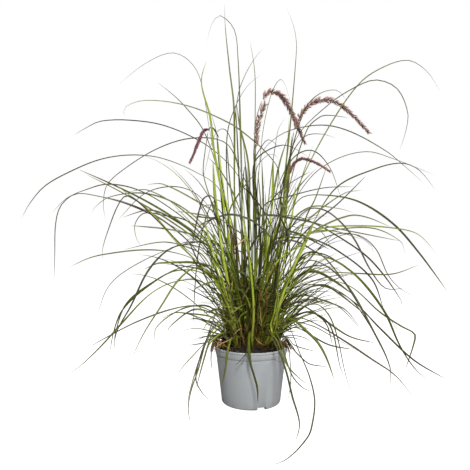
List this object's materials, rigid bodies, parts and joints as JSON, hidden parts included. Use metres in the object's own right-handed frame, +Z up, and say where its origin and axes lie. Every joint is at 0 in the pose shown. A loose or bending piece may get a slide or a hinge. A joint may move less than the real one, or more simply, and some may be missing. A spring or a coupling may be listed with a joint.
{
  "type": "potted fountain grass clump",
  "caption": "Fountain grass clump with arching narrow leaves and purple foxtail flowers, growing in a round grey nursery pot.",
  "frame": {"origin": "centre of the pot's underside, on the surface that the pot stands on", "axes": "+Z up along the pot's axis, +X to the right as the picture shows it, -Y towards the viewer"},
  "size_m": [1.0098, 0.7957, 0.9298],
  "materials": {
    "pot": "satin moulded plastic",
    "soil": "loose dark potting soil",
    "leaf": "matt leaf, green turning purple brown at the tip",
    "stem": "smooth green culm",
    "spike": "soft purple brown bristles"
  },
  "bodies": {
    "root": {"pot": "pot", "potting_soil": "soil", "leaf_01": "leaf", "leaf_02": "leaf", "leaf_03": "leaf", "leaf_04": "leaf", "leaf_05": "leaf", "leaf_06": "leaf", "leaf_07": "leaf", "leaf_08": "leaf", "leaf_09": "leaf", "leaf_10": "leaf", "leaf_11": "leaf", "leaf_12": "leaf", "leaf_13": "leaf", "leaf_14": "leaf", "leaf_15": "leaf", "leaf_16": "leaf", "leaf_17": "leaf", "leaf_18": "leaf", "leaf_19": "leaf", "leaf_20": "leaf", "leaf_21": "leaf", "leaf_22": "leaf", "leaf_23": "leaf", "leaf_24": "leaf", "leaf_25": "leaf", "leaf_26": "leaf", "leaf_27": "leaf", "leaf_28": "leaf", "leaf_29": "leaf", "leaf_30": "leaf", "leaf_31": "leaf", "leaf_32": "leaf", "leaf_33": "leaf", "leaf_34": "leaf", "leaf_35": "leaf", "leaf_36": "leaf", "leaf_37": "leaf", "leaf_38": "leaf", "leaf_39": "leaf", "leaf_40": "leaf", "leaf_41": "leaf", "leaf_42": "leaf", "leaf_43": "leaf", "leaf_44": "leaf", "leaf_45": "leaf", "leaf_46": "leaf", "leaf_47": "leaf", "leaf_48": "leaf", "flower_stem_1": "stem", "flower_stem_2": "stem", "flower_stem_3": "stem", "flower_stem_4": "stem", "flower_stem_5": "stem", "flower_spike_1": "spike", "flower_spike_2": "spike", "flower_spike_3": "spike", "flower_spike_4": "spike", "flower_spike_5": "spike"}
  },
  "joints": []
}
